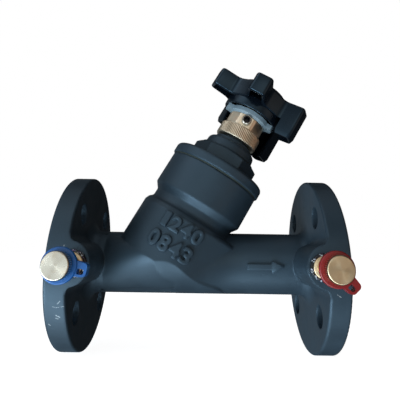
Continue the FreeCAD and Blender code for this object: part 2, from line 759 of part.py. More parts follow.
def handwheel_screw():
    head = turned([
        (0, DRIVE_TOP),
        (WHEEL_SCREW_HEAD_D / 2, DRIVE_TOP),
        (WHEEL_SCREW_HEAD_D / 2, DRIVE_TOP + 1.6, 0.8),
        (0, DRIVE_TOP + 2.0),
    ])
    shank = rod(WHEEL_SCREW_D - 2 * FIT, DRIVE_TOP - WHEEL_SCREW_LENGTH + 1, DRIVE_TOP + 0.5)
    slot = Part.makeBox(WHEEL_SCREW_HEAD_D, 1.2, 1.0, V(-WHEEL_SCREW_HEAD_D / 2, -0.6, DRIVE_TOP + 1.1))
    return on_bonnet(fused([head, shank]).cut(slot))


def handwheel_cap():
    """Snap-in disc that closes the hub."""
    return on_bonnet(turned([
        (0, WHEEL_TOP - CAP_T),
        (CAP_D / 2 - FIT, WHEEL_TOP - CAP_T),
        (CAP_D / 2 - FIT, WHEEL_TOP - 0.3, 0.4),
        (0, WHEEL_TOP + 0.5),
    ]))


def test_nipple(x):
    """Brass test point screwed into the boss, hollow for its core."""
    tip = FLANGE_R + NIPPLE_OUT
    shape = turned([
        (TEST_BORE_D / 2, FLANGE_R - NIPPLE_THREAD_L),
        (NIPPLE_THREAD_D / 2 - FIT, FLANGE_R - NIPPLE_THREAD_L, 0.6),
        (NIPPLE_THREAD_D / 2 - FIT, FLANGE_R),
        (NIPPLE_D / 2 + 1.8, FLANGE_R),
        (NIPPLE_D / 2 + 1.8, FLANGE_R + 2.2, 0.8),
        (NIPPLE_D / 2, FLANGE_R + 2.8),
        (NIPPLE_D / 2, tip, 0.6),
        (CORE_D / 2, tip),
        (CORE_D / 2, tip - CORE_L),
        (TEST_BORE_D / 2, tip - CORE_L),
    ])
    return on_test_point(shape, x)


def test_core(x):
    tip = FLANGE_R + NIPPLE_OUT
    return on_test_point(rod(CORE_D - 2 * FIT, tip - CORE_L, tip - 0.4), x)


def tag_ring(x, tab_angle):
    """Coloured ring under the cap, with a looped tab at tab_angle degrees from +X in the flange's side view."""
    low = FLANGE_R + RING_SEAT
    high = low + RING_L
    outer = RING_D / 2
    shape = turned([
        (NIPPLE_D / 2 + LOOSE, low),
        (outer - RING_TAPER, low, 0.7),
        (outer, high - 2.0),
        (outer, high, 0.8),
        (TEST_CAP_SKIRT_D / 2 + LOOSE, high),
        (TEST_CAP_SKIRT_D / 2 + LOOSE, low + RING_WALL),
        (NIPPLE_D / 2 + LOOSE, low + RING_WALL),
    ])
    loop_low = high - 0.8 - TAB_T
    loop = plate([
        (outer - 1.5, -TAB_W / 2),
        (TAB_REACH, -TAB_W / 2 + 0.6, 2.2),
        (TAB_REACH, TAB_W / 2 - 0.6, 2.2),
        (outer - 1.5, TAB_W / 2),
    ], loop_low, loop_low + TAB_T)
    eye = plate([
        (outer + 0.2, -TAB_W / 2 + TAB_WALL, 0.6),
        (TAB_REACH - TAB_WALL, -TAB_W / 2 + TAB_WALL + 0.3, 1.0),
        (TAB_REACH - TAB_WALL, EYE_HIGH, 1.0),
        (outer + 0.2, EYE_HIGH, 0.6),
    ], loop_low - 1, loop_low + TAB_T + 1)
    return on_test_point(fused([shape, turn_z(loop.cut(eye), tab_angle)]), x)


def test_cap(x):
    """Brass cap: knurled rim, turned face, skirt that screws over the nipple."""
    end = FLANGE_R + TEST_CAP_OUT
    rim_low = end - TEST_CAP_RIM
    skirt_low = FLANGE_R + RING_SEAT + RING_WALL + LOOSE
    inner = NIPPLE_D / 2 + RUNNING
    shape = turned([
        (inner, skirt_low),
        (TEST_CAP_SKIRT_D / 2, skirt_low, 0.3),
        (TEST_CAP_SKIRT_D / 2, rim_low),
        (TEST_CAP_D / 2, rim_low, 0.5),
        (TEST_CAP_D / 2, end, 0.7),
        (0, end),
        (0, FLANGE_R + NIPPLE_OUT + CAP_SEAL_T + 0.1),
        (inner, FLANGE_R + NIPPLE_OUT + CAP_SEAL_T + 0.1),
    ])
    return on_test_point(shape, x)


def cap_seal(x):
    low = FLANGE_R + NIPPLE_OUT + 0.1
    return on_test_point(rod(NIPPLE_D, low, low + CAP_SEAL_T), x)


def write(name, shape):
    shape.exportStep("parts/" + name + ".step")


pieces = {
    "valve_body": valve_body(),
    "seat_ring": seat_ring(),
    "bonnet": bonnet(),
    "bonnet_gasket": bonnet_gasket(),
    "bonnet_o_ring": bonnet_o_ring(),
    "stem": stem(),
    "stem_o_rings": stem_o_rings(),
    "thrust_washer": thrust_washer(),
    "cone_carrier": cone_carrier(),
    "cone": cone(),
    "cone_seal": cone_seal(),
    "cone_screw": cone_screw(),
    "lock_collar": lock_collar(),
    "collar_screw": collar_screw(),
    "index_ring": index_ring(),
    "handwheel": handwheel(),
    "handwheel_screw": handwheel_screw(),
    "handwheel_cap": handwheel_cap(),
}
for end, x, tab_angle in (("inlet", TEST_X, -10.0), ("outlet", LENGTH - TEST_X, -47.0)):
    pieces[end + "_test_nipple"] = test_nipple(x)
    pieces[end + "_test_core"] = test_core(x)
    pieces[end + "_tag_ring"] = tag_ring(x, tab_angle)
    pieces[end + "_test_cap"] = test_cap(x)
    pieces[end + "_cap_seal"] = cap_seal(x)

for name, shape in pieces.items():
    write(name, shape)
    print(name, len(shape.Solids), "solid", shape.isValid(), round(shape.Volume / 1000, 2), "cm3")
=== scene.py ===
import math

import bpy
from mathutils import Matrix, Vector


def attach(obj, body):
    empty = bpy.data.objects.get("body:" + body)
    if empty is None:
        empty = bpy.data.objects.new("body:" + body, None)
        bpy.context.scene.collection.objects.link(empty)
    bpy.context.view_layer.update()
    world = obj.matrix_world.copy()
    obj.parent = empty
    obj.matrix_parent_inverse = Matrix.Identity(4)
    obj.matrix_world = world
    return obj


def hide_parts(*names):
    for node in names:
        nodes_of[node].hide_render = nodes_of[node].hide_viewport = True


# Looks of a flanged Y-pattern balancing valve: black painted casting, brass collar and test points,
# moulded wheel. Everything is in metres: the inlet's raised face is at X = 0 and +X runs with the flow.

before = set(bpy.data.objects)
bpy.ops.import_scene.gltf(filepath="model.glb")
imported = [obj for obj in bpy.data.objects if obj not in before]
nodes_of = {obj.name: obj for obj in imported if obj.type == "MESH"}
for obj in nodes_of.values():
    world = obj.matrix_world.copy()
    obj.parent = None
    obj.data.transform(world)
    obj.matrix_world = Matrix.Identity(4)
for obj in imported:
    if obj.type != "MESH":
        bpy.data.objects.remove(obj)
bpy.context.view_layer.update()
scene = bpy.context.scene

MM = 0.001
LEAN = math.radians(30)
CROSS_X = 64.5 * MM
FLANGE_R = 57.5 * MM
TEST_X = 18.5 * MM
LENGTH = 180 * MM
CHAMBER_R = 34.5 * MM
COLLAR_R = 15.8 * MM
BAND_LOW = 101.5 * MM
BAND_HIGH = 111.5 * MM
CAP_R = 7.2 * MM
CAP_RIM_LOW = 82.5 * MM
CAP_END = 88.0 * MM
WHEEL_LOW = 130.4 * MM
WHEEL_TOP = 144.8 * MM
WHEEL_TURN = math.radians(-94.5)
LOBES = 5
LOBE_STEP = 2 * math.pi / LOBES
LOBE_REACH = 38.0 * MM
DRUM_R = 21.8 * MM
VALLEY_R = 24.0 * MM
LOBE_TAPER = 0.86
LOBE_CORNER = 2.6 * MM
TOP_ROUNDING = 1.5 * MM
FOOT_ROUNDING = 0.9 * MM
WHEEL_WALL = 1.5 * MM
HOLLOW_DEPTH = 11.6 * MM
SKIRT_WALL = 1.7 * MM
SKIRT_DROP = 6.2 * MM
HUB_R = 13.0 * MM
CROWN_R = 17.5 * MM
CROWN_UP = 3.4 * MM
# Lobes with a wall hanging under them and how far it hangs, and lobes that are open below.
HANGING_WALLS = ((1, 11.5 * MM), (2, 24.3 * MM), (3, 12.5 * MM))
OPEN_LOBES = (0, 4)
# A fresh ten-sided drum has the middle of one flat at this angle.
FLAT_ANGLE = math.radians(-108)
SCREW_UP = 116.7 * MM
NIPPLE_FOOT_R = 6.9 * MM
BEAD_R = 1.25 * MM
FIGURE_WIDTH = 7.3 * MM
ONE_WIDTH = 4.4 * MM
CAST_SKIN = 0.26 * MM
KNURL_RISE = 0.24 * MM
KNURL_CHAMFER = 0.4 * MM
FACE_SKIN = 0.3 * MM

# The bonnet's drawing frame: its Z is the bonnet axis, its X points downhill, and its -Y faces the side
# with the test points.
BONNET = Matrix.Translation((CROSS_X, 0, 0)) @ Matrix.Rotation(LEAN, 4, "Y")


def on_test_point(x):
    """Drawing frame of a test point: Z points out of the flange along -Y, Y is up."""
    return Matrix.Translation((x, 0, 0)) @ Matrix.Rotation(math.radians(90), 4, "X")


# Modelling helpers.
def clear_selection():
    if bpy.context.object and bpy.context.object.mode != "OBJECT":
        bpy.ops.object.mode_set(mode="OBJECT")
    bpy.ops.object.select_all(action="DESELECT")


def take(obj):
    clear_selection()
    obj.select_set(True)
    bpy.context.view_layer.objects.active = obj


def pick_faces(obj, test):
    """Selects, in object mode, the faces whose centre and normal pass the test."""
    bpy.context.tool_settings.mesh_select_mode = (False, False, True)
    mesh = obj.data
    for v in mesh.vertices:
        v.select = False
    for e in mesh.edges:
        e.select = False
    for f in mesh.polygons:
        f.select = bool(test(f.center, f.normal))


def pick_points(obj, test):
    bpy.context.tool_settings.mesh_select_mode = (True, False, False)
    mesh = obj.data
    for f in mesh.polygons:
        f.select = False
    for e in mesh.edges:
        e.select = False
    for v in mesh.vertices:
        v.select = bool(test(v.co))


def round_edges(obj, width, test):
    """Rounds the edges whose two ends pass the test."""
    bpy.context.tool_settings.mesh_select_mode = (False, True, False)
    mesh = obj.data
    for item in list(mesh.polygons) + list(mesh.vertices):
        item.select = False
    for edge in mesh.edges:
        first, second = (mesh.vertices[i].co for i in edge.vertices)
        edge.select = bool(test(first, second))
    bpy.ops.object.mode_set(mode="EDIT")
    bpy.ops.mesh.bevel(offset=width, segments=4, affect="EDGES")
    bpy.ops.object.mode_set(mode="OBJECT")


def apply_modifiers(obj):
    take(obj)
    for modifier in list(obj.modifiers):
        bpy.ops.object.modifier_apply(modifier=modifier.name)


def settle(obj, place, name):
    """Puts a finished piece where the drawing frame says, with its place in its mesh, and names it."""
    take(obj)
    bpy.ops.object.transform_apply(location=True, rotation=True, scale=True)
    obj.data.transform(place)
    obj.name = name
    obj.data.name = name
    return obj


def joined(objects, name):
    clear_selection()
    for obj in objects:
        obj.select_set(True)
    bpy.context.view_layer.objects.active = objects[0]
    if len(objects) > 1:
        bpy.ops.object.join()
    objects[0].name = name
    objects[0].data.name = name
    return objects[0]


def smooth(obj, degrees):
    take(obj)
    bpy.ops.object.shade_smooth_by_angle(angle=math.radians(degrees))


# Node helpers.
def new_material(name):
    mat = bpy.data.materials.new(name)
    mat.use_nodes = True
    tree = mat.node_tree
    return mat, tree.nodes, tree.links, tree.nodes["Principled BSDF"]


def math_node(nodes, links, operation, first, second, clamp=False):
    node = nodes.new("ShaderNodeMath")
    node.operation = operation
    node.use_clamp = clamp
    for index, value in enumerate((first, second)):
        if isinstance(value, (int, float)):
            node.inputs[index].default_value = value
        else:
            links.new(value, node.inputs[index])
    return node.outputs[0]


def ramp(nodes, links, value, low, high, out_low=0.0, out_high=1.0):
    node = nodes.new("ShaderNodeMapRange")
    node.interpolation_type = "SMOOTHSTEP"
    links.new(value, node.inputs["Value"])
    node.inputs["From Min"].default_value = low
    node.inputs["From Max"].default_value = high
    node.inputs["To Min"].default_value = out_low
    node.inputs["To Max"].default_value = out_high
    return node.outputs["Result"]


# Where a Mix node set to colours has its sockets.
MIX_FACTOR = 0
MIX_FIRST = 6
MIX_SECOND = 7
MIX_RESULT = 2


def blend_colour(nodes, links, factor, first, second, mode="MIX"):
    node = nodes.new("ShaderNodeMix")
    node.data_type = "RGBA"
    node.blend_type = mode
    for index, value in ((MIX_FACTOR, factor), (MIX_FIRST, first), (MIX_SECOND, second)):
        socket = node.inputs[index]
        if isinstance(value, (int, float)):
            socket.default_value = value
        elif isinstance(value, tuple):
            socket.default_value = (*value, 1.0)
        else:
            links.new(value, socket)
    return node.outputs[MIX_RESULT]


def noise(nodes, links, vector, scale, detail=3.0):
    node = nodes.new("ShaderNodeTexNoise")
    node.inputs["Scale"].default_value = scale
    node.inputs["Detail"].default_value = detail
    links.new(vector, node.inputs["Vector"])
    return node.outputs["Fac"]


def object_point(nodes):
    return nodes.new("ShaderNodeTexCoord").outputs["Object"]


def bumped(nodes, links, height, strength, distance, base=None):
    node = nodes.new("ShaderNodeBump")
    node.inputs["Strength"].default_value = strength
    node.inputs["Distance"].default_value = distance
    links.new(height, node.inputs["Height"])
    if base is not None:
        links.new(base, node.inputs["Normal"])
    return node.outputs["Normal"]


# Effects that several finishes share.
def casting_grain_group():
    """Sand-cast skin under paint: a fine grain, a soft unevenness and sparse pits."""
    group = bpy.data.node_groups.new("casting grain", "ShaderNodeTree")
    group.interface.new_socket("Vector", in_out="INPUT", socket_type="NodeSocketVector")
    scale = group.interface.new_socket("Grain Scale", in_out="INPUT", socket_type="NodeSocketFloat")
    scale.default_value = 900.0
    group.interface.new_socket("Height", in_out="OUTPUT", socket_type="NodeSocketFloat")
    group.interface.new_socket("Unevenness", in_out="OUTPUT", socket_type="NodeSocketFloat")
    group.interface.new_socket("Pits", in_out="OUTPUT", socket_type="NodeSocketFloat")
    nodes, links = group.nodes, group.links
    start = nodes.new("NodeGroupInput")
    end = nodes.new("NodeGroupOutput")
    fine = nodes.new("ShaderNodeTexNoise")
    fine.inputs["Detail"].default_value = 4.0
    links.new(start.outputs["Vector"], fine.inputs["Vector"])
    links.new(start.outputs["Grain Scale"], fine.inputs["Scale"])
    broad = noise(nodes, links, start.outputs["Vector"], 70.0, 2.0)
    cells = nodes.new("ShaderNodeTexVoronoi")
    cells.inputs["Scale"].default_value = 260.0
    links.new(start.outputs["Vector"], cells.inputs["Vector"])
    gate = noise(nodes, links, start.outputs["Vector"], 45.0, 1.0)
    gate = ramp(nodes, links, gate, 0.56, 0.66)
    pit = ramp(nodes, links, cells.outputs["Distance"], 0.10, 0.22, 1.0, 0.0)
    pits = math_node(nodes, links, "MULTIPLY", pit, gate)
    height = math_node(nodes, links, "MULTIPLY", fine.outputs["Fac"], 0.5)
    height = math_node(nodes, links, "ADD", height, broad)
    height = math_node(nodes, links, "SUBTRACT", height, math_node(nodes, links, "MULTIPLY", pits, 0.6))
    links.new(height, end.inputs["Height"])
    links.new(broad, end.inputs["Unevenness"])
    links.new(pits, end.inputs["Pits"])
    return group


def scratch_group():
    """A single straight scratch: 1 on the line between two points, faded to 0 half a width away."""
    group = bpy.data.node_groups.new("scratch", "ShaderNodeTree")
    for name in ("Vector", "From", "To"):
        group.interface.new_socket(name, in_out="INPUT", socket_type="NodeSocketVector")
    width = group.interface.new_socket("Width", in_out="INPUT", socket_type="NodeSocketFloat")
    width.default_value = 0.0003
    group.interface.new_socket("Mask", in_out="OUTPUT", socket_type="NodeSocketFloat")
    nodes, links = group.nodes, group.links
    start = nodes.new("NodeGroupInput")
    end = nodes.new("NodeGroupOutput")

    def vector(operation, first, second):
        node = nodes.new("ShaderNodeVectorMath")
        node.operation = operation
        links.new(first, node.inputs[0])
        if second is not None:
            links.new(second, node.inputs[1])
        return node

    along = vector("SUBTRACT", start.outputs["To"], start.outputs["From"]).outputs["Vector"]
    offset = vector("SUBTRACT", start.outputs["Vector"], start.outputs["From"]).outputs["Vector"]
    share = math_node(nodes, links, "DIVIDE", vector("DOT_PRODUCT", offset, along).outputs["Value"],
                      vector("DOT_PRODUCT", along, along).outputs["Value"], clamp=True)
    scaled = nodes.new("ShaderNodeVectorMath")
    scaled.operation = "SCALE"
    links.new(along, scaled.inputs[0])
    links.new(share, scaled.inputs["Scale"])
    gap = vector("SUBTRACT", offset, scaled.outputs["Vector"])
    length = vector("LENGTH", gap.outputs["Vector"], None).outputs["Value"]
    ratio = math_node(nodes, links, "DIVIDE", length, start.outputs["Width"])
    links.new(ramp(nodes, links, ratio, 0.25, 1.0, 1.0, 0.0), end.inputs["Mask"])
    return group


def turned_rings_group():
    """Fine tool rings round an axis through a centre: the height of a turned or faced surface."""
    group = bpy.data.node_groups.new("turned rings", "ShaderNodeTree")
    for name in ("Vector", "Centre", "Axis"):
        group.interface.new_socket(name, in_out="INPUT", socket_type="NodeSocketVector")
    pitch = group.interface.new_socket("Pitch", in_out="INPUT", socket_type="NodeSocketFloat")
    pitch.default_value = 0.0004
    group.interface.new_socket("Height", in_out="OUTPUT", socket_type="NodeSocketFloat")
    group.interface.new_socket("Radius", in_out="OUTPUT", socket_type="NodeSocketFloat")
    group.interface.new_socket("Tangent", in_out="OUTPUT", socket_type="NodeSocketVector")
    nodes, links = group.nodes, group.links
    start = nodes.new("NodeGroupInput")
    end = nodes.new("NodeGroupOutput")
    offset = nodes.new("ShaderNodeVectorMath")
    offset.operation = "SUBTRACT"
    links.new(start.outputs["Vector"], offset.inputs[0])
    links.new(start.outputs["Centre"], offset.inputs[1])
    cross = nodes.new("ShaderNodeVectorMath")
    cross.operation = "CROSS_PRODUCT"
    links.new(offset.outputs["Vector"], cross.inputs[0])
    links.new(start.outputs["Axis"], cross.inputs[1])
    length = nodes.new("ShaderNodeVectorMath")
    length.operation = "LENGTH"
    links.new(cross.outputs["Vector"], length.inputs[0])
    turns = math_node(nodes, links, "DIVIDE", length.outputs["Value"], start.outputs["Pitch"])
    wave = math_node(nodes, links, "SINE", math_node(nodes, links, "MULTIPLY", turns, 2 * math.pi), 0.0)
    links.new(wave, end.inputs["Height"])
    links.new(length.outputs["Value"], end.inputs["Radius"])
    direction = nodes.new("ShaderNodeVectorMath")
    direction.operation = "NORMALIZE"
    links.new(cross.outputs["Vector"], direction.inputs[0])
    links.new(direction.outputs["Vector"], end.inputs["Tangent"])
    return group


GRAIN = casting_grain_group()
SCRATCH = scratch_group()
RINGS = turned_rings_group()


def add_group(nodes, links, group, **values):
    node = nodes.new("ShaderNodeGroup")
    node.node_tree = group
    for name, value in values.items():
        socket = node.inputs[name.replace("_", " ")]
        if isinstance(value, (int, float, tuple, Vector)):
            socket.default_value = value
        else:
            links.new(value, socket)
    return node


def rings(nodes, links, point, centre, axis, pitch):
    return add_group(nodes, links, RINGS, Vector=point, Centre=tuple(centre), Axis=tuple(axis), Pitch=pitch)


# Marks on the inlet flange's rim and on the neck's head: from, to, width.
SCRATCHES = [
    ((7.6, -52.4, -23.6), (9.8, -52.2, -24.2), 0.35),
    ((9.8, -52.2, -24.2), (14.2, -52.5, -23.4), 0.30),
    ((12.0, -53.7, -20.6), (10.6, -53.1, -22.1), 0.40),
    ((9.4, -49.9, -28.6), (11.4, -49.3, -29.6), 0.55),
    ((9.2, -48.9, -30.2), (10.4, -48.7, -30.6), 0.45),
    ((4.6, -46.5, -33.8), (5.4, -45.9, -34.6), 0.40),
    ((11.9, -56.9, 8.0), (12.4, -56.6, 10.4), 0.25),
    ((174.0, -57.4, 3.0), (177.5, -57.3, 4.4), 0.30),
    ((168.6, -55.6, -14.6), (171.0, -55.2, -16.2), 0.30),
]


# Finishes.
def casting_paint():
    """Satin black paint over the casting, bare machined raised faces, scratches on the inlet flange's rim."""
    mat, nodes, links, shader = new_material("casting paint")
    point = object_point(nodes)
    split = nodes.new("ShaderNodeSeparateXYZ")
    links.new(point, split.inputs[0])
    grain = add_group(nodes, links, GRAIN, Vector=point)
    uneven = grain.outputs["Unevenness"]
    paint = blend_colour(nodes, links, uneven, (0.019, 0.032, 0.046), (0.027, 0.045, 0.063))
    inlet_face = math_node(nodes, links, "LESS_THAN", split.outputs["X"], FACE_SKIN)
    outlet_face = math_node(nodes, links, "GREATER_THAN", split.outputs["X"], LENGTH - FACE_SKIN)
    face = math_node(nodes, links, "ADD", inlet_face, outlet_face, clamp=True)
    tool = rings(nodes, links, point, (0, 0, 0), (1, 0, 0), 0.7 * MM)
    scratches = None
    for start, end, width in SCRATCHES:
        start, end = (tuple(c * MM for c in corner) for corner in (start, end))
        line = add_group(nodes, links, SCRATCH, Vector=point, From=start, To=end, Width=width * MM)
        mark = line.outputs["Mask"]
        scratches = mark if scratches is None else math_node(nodes, links, "MAXIMUM", scratches, mark)
    breaks = ramp(nodes, links, noise(nodes, links, point, 1500.0, 2.0), 0.36, 0.58)
    scratches = math_node(nodes, links, "MULTIPLY", scratches, breaks)
    colour = blend_colour(nodes, links, scratches, paint, (0.42, 0.47, 0.5))
    colour = blend_colour(nodes, links, face, colour, (0.30, 0.30, 0.29))
    links.new(colour, shader.inputs["Base Color"])
    links.new(face, shader.inputs["Metallic"])
    rough = ramp(nodes, links, uneven, 0.3, 0.7, 0.40, 0.50)
    rough = math_node(nodes, links, "ADD", rough, math_node(nodes, links, "MULTIPLY", face, 0.18))
    links.new(rough, shader.inputs["Roughness"])
    shader.inputs["Specular IOR Level"].default_value = 0.85
    shader.inputs["Specular Tint"].default_value = (0.50, 0.76, 1.0, 1)
    soft = nodes.new("ShaderNodeBevel")
    soft.samples = 4
    soft.inputs["Radius"].default_value = 1.6 * MM
    skin = bumped(nodes, links, grain.outputs["Height"], 0.35, 0.25 * MM, soft.outputs["Normal"])
    tooled = math_node(nodes, links, "MULTIPLY", tool.outputs["Height"], face)
    links.new(bumped(nodes, links, tooled, 0.5, 0.1 * MM, skin), shader.inputs["Normal"])
    return mat


def turned_brass(name, colour, centre, axis, pitch=0.35 * MM, rough=0.3, warm=(0.60, 0.36, 0.16),
                 knurl_r=None, drawn=0.75):
    """Turned brass: tool rings that draw its highlights out, slight tarnish, painted shade between the
    knurls.
    """
    mat, nodes, links, shader = new_material(name)
    point = object_point(nodes)
    tool = rings(nodes, links, point, centre, axis, pitch)
    stain = noise(nodes, links, point, 160.0, 3.0)
    tone = blend_colour(nodes, links, ramp(nodes, links, stain, 0.45, 0.75, 0.0, 0.5), colour, warm)
    # Painted shade: the colour goes to dark brown where the radius drops into the knurl valleys.
    if knurl_r is not None:
        outside = math_node(nodes, links, "GREATER_THAN", tool.outputs["Radius"], knurl_r)
        depth = ramp(nodes, links, tool.outputs["Radius"], knurl_r, knurl_r + 0.2 * MM, 0.85, 0.0)
        valley_shade = math_node(nodes, links, "MULTIPLY", outside, depth)
        tone = blend_colour(nodes, links, valley_shade, tone, (0.10, 0.055, 0.02))
    links.new(tone, shader.inputs["Base Color"])
    links.new(tool.outputs["Tangent"], shader.inputs["Tangent"])
    shader.inputs["Anisotropic"].default_value = drawn
    shader.inputs["Metallic"].default_value = 1.0
    links.new(ramp(nodes, links, stain, 0.3, 0.7, rough - 0.05, rough + 0.08), shader.inputs["Roughness"])
    links.new(bumped(nodes, links, tool.outputs["Height"], 0.12, 0.03 * MM), shader.inputs["Normal"])
    return mat


def moulded(name, colour, rough, grain=0.12, scale=1800.0, tint=(1.0, 1.0, 1.0)):
    """Moulded plastic with a fine texture."""
    mat, nodes, links, shader = new_material(name)
    shader.inputs["Specular Tint"].default_value = (*tint, 1)
    shader.inputs["Specular IOR Level"].default_value = 0.7
    point = object_point(nodes)
    cloud = noise(nodes, links, point, 90.0, 2.0)
    darker = tuple(0.82 * c for c in colour)
    links.new(blend_colour(nodes, links, cloud, colour, darker), shader.inputs["Base Color"])
    links.new(ramp(nodes, links, cloud, 0.3, 0.7, rough - 0.04, rough + 0.05), shader.inputs["Roughness"])
    texture = noise(nodes, links, point, scale, 2.0)
    links.new(bumped(nodes, links, texture, grain, 0.05 * MM), shader.inputs["Normal"])
    return mat


def sealant():
    """Glossy dark thread sealant with violet specks and pale specks that are painted glints."""
    mat, nodes, links, shader = new_material("thread sealant")
    point = object_point(nodes)
    cells = nodes.new("ShaderNodeTexVoronoi")
    cells.inputs["Scale"].default_value = 1400.0
    links.new(point, cells.inputs["Vector"])
    tint = nodes.new("ShaderNodeSeparateColor")
    links.new(cells.outputs["Color"], tint.inputs[0])
    # The pale specks are painted glints on the sealant; the violet specks are its own tint.
    painted_glints = math_node(nodes, links, "GREATER_THAN", tint.outputs[0], 0.86)
    violet = math_node(nodes, links, "GREATER_THAN", tint.outputs[1], 0.90)
    colour = blend_colour(nodes, links, violet, (0.012, 0.013, 0.018), (0.12, 0.07, 0.20))
    colour = blend_colour(nodes, links, painted_glints, colour, (0.42, 0.48, 0.55))
    links.new(colour, shader.inputs["Base Color"])
    shader.inputs["Roughness"].default_value = 0.16
    lumps = noise(nodes, links, point, 420.0, 3.0)
    links.new(bumped(nodes, links, lumps, 0.6, 0.35 * MM), shader.inputs["Normal"])
    return mat


def screw_steel():
    """Black set screw with its chamfer worn bright."""
    mat, nodes, links, shader = new_material("set screw steel")
    point = object_point(nodes)
    centre = BONNET @ Vector((0, 0, SCREW_UP))
    tool = rings(nodes, links, point, centre, (0, 1, 0), 0.3 * MM)
    rim = ramp(nodes, links, tool.outputs["Radius"], 2.7 * MM, 3.0 * MM)
    breaks = ramp(nodes, links, noise(nodes, links, point, 900.0), 0.3, 0.5)
    worn = math_node(nodes, links, "MULTIPLY", rim, breaks)
    colour = blend_colour(nodes, links, worn, (0.03, 0.03, 0.035), (0.72, 0.68, 0.6))
    links.new(colour, shader.inputs["Base Color"])
    shader.inputs["Metallic"].default_value = 1.0
    shader.inputs["Roughness"].default_value = 0.32
    return mat


def steel(name, colour, rough):
    """Plated steel with a cloudy sheen."""
    mat, nodes, links, shader = new_material(name)
    point = object_point(nodes)
    cloud = noise(nodes, links, point, 500.0, 3.0)
    darker = tuple(0.7 * c for c in colour)
    links.new(blend_colour(nodes, links, cloud, colour, darker), shader.inputs["Base Color"])
    shader.inputs["Metallic"].default_value = 1.0
    links.new(ramp(nodes, links, cloud, 0.3, 0.7, rough - 0.05, rough + 0.1), shader.inputs["Roughness"])
    return mat


casting = casting_paint()
bonnet_axis = (math.sin(LEAN), 0.0, math.cos(LEAN))
bonnet_foot = (CROSS_X, 0.0, 0.0)
collar_brass = turned_brass("collar brass", (0.94, 0.85, 0.68), bonnet_foot, bonnet_axis, rough=0.36,
                            knurl_r=COLLAR_R, drawn=0.2, warm=(0.86, 0.55, 0.34))
inner_brass = turned_brass("inner brass", (0.72, 0.55, 0.30), bonnet_foot, bonnet_axis)
inlet_brass = turned_brass("inlet cap brass", (0.88, 0.85, 0.74), (TEST_X, 0, 0), (0, 1, 0), 0.3 * MM, 0.26,
                           knurl_r=CAP_R)
outlet_brass = turned_brass("outlet cap brass", (0.81, 0.66, 0.45), (LENGTH - TEST_X, 0, 0), (0, 1, 0),
                            0.3 * MM, 0.34, knurl_r=CAP_R)
wheel_black = moulded("wheel black", (0.004, 0.007, 0.012), 0.2, tint=(0.42, 0.72, 1.0), grain=0.03)
white_plastic = moulded("index white", (0.27, 0.38, 0.46), 0.42)
blue_plastic = moulded("inlet blue", (0.004, 0.13, 0.47), 0.34)
red_plastic = moulded("outlet red", (0.27, 0.008, 0.012), 0.34)
seat_white = moulded("seat white", (0.80, 0.80, 0.74), 0.5)
rubber = moulded("seal rubber", (0.018, 0.018, 0.02), 0.7)
fibre = moulded("gasket fibre", (0.05, 0.07, 0.06), 0.8, 0.3)
black_steel = screw_steel()
thread_sealant = sealant()
bright_steel = steel("bright steel", (0.55, 0.56, 0.58), 0.3)

FINISHES = {
    "valve_body": casting, "bonnet": casting, "seat_ring": inner_brass, "bonnet_gasket": fibre,
    "bonnet_o_ring": rubber, "stem": inner_brass, "stem_o_rings": rubber, "thrust_washer": seat_white,
    "cone_carrier": inner_brass, "cone": inner_brass, "cone_seal": seat_white, "cone_screw": bright_steel,
    "lock_collar": collar_brass, "collar_screw": black_steel, "index_ring": white_plastic,
    "handwheel": wheel_black, "handwheel_screw": bright_steel, "handwheel_cap": wheel_black,
    "inlet_test_nipple": outlet_brass, "inlet_test_core": rubber, "inlet_tag_ring": blue_plastic,
    "inlet_test_cap": inlet_brass, "inlet_cap_seal": rubber,
    "outlet_test_nipple": outlet_brass, "outlet_test_core": rubber, "outlet_tag_ring": red_plastic,
    "outlet_test_cap": outlet_brass, "outlet_cap_seal": rubber,
}
for name, finish in FINISHES.items():
    mesh = nodes_of[name].data
    mesh.materials.clear()
    mesh.materials.append(finish)


# Pieces modelled here.
def dress(obj, finish, body, degrees):
    """Gives a finished piece its material and its smooth faces, and lets it ride on a body."""
    obj.data.materials.clear()
    obj.data.materials.append(finish)
    smooth(obj, degrees)
    clear_selection()
    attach(obj, body)


def raised_numeral(figure, name, azimuth, low, high, width):
    """Cast figure standing about a millimetre out of the chamber's wall, with edges soft as from sand."""
    clear_selection()
    bpy.ops.object.text_add(location=(0, 0, 0))
    obj = bpy.context.object
    obj.data.body = figure
    obj.data.size = 13 * MM
    obj.data.extrude = 1.15 * MM
    obj.data.offset = 0.3 * MM
    obj.data.bevel_depth = 0.15 * MM
    obj.data.bevel_resolution = 1
    bpy.ops.object.convert(target="MESH")
    obj = bpy.context.object
    xs = [v.co.x for v in obj.data.vertices]
    ys = [v.co.y for v in obj.data.vertices]
    obj.location = (-(min(xs) + max(xs)) / 2, -(min(ys) + max(ys)) / 2, 0)
    bpy.ops.object.transform_apply(location=True, rotation=False, scale=False)
    obj.scale = (width / (max(xs) - min(xs)), (high - low) / (max(ys) - min(ys)), 1)
    bpy.ops.object.transform_apply(location=False, rotation=False, scale=True)
    for step in ("first skin", "cast skin"):
        skin = obj.modifiers.new(step, "REMESH")
        skin.mode = "VOXEL"
        skin.voxel_size = CAST_SKIN
        if step == "first skin":
            swell = obj.modifiers.new("swell", "DISPLACE")
            swell.strength = 0.34 * MM
            swell.mid_level = 0.0
    ease = obj.modifiers.new("soft edges", "SMOOTH")
    ease.factor = 0.5
    ease.iterations = 3
    apply_modifiers(obj)
    turn = Matrix.Rotation(math.radians(azimuth + 90), 4, "Z") @ Matrix.Rotation(math.radians(90), 4, "X")
    settle(obj, BONNET @ turn @ Matrix.Translation((0, (low + high) / 2, CHAMBER_R + 0.05 * MM)), name)
    dress(obj, casting, "casting", 60)


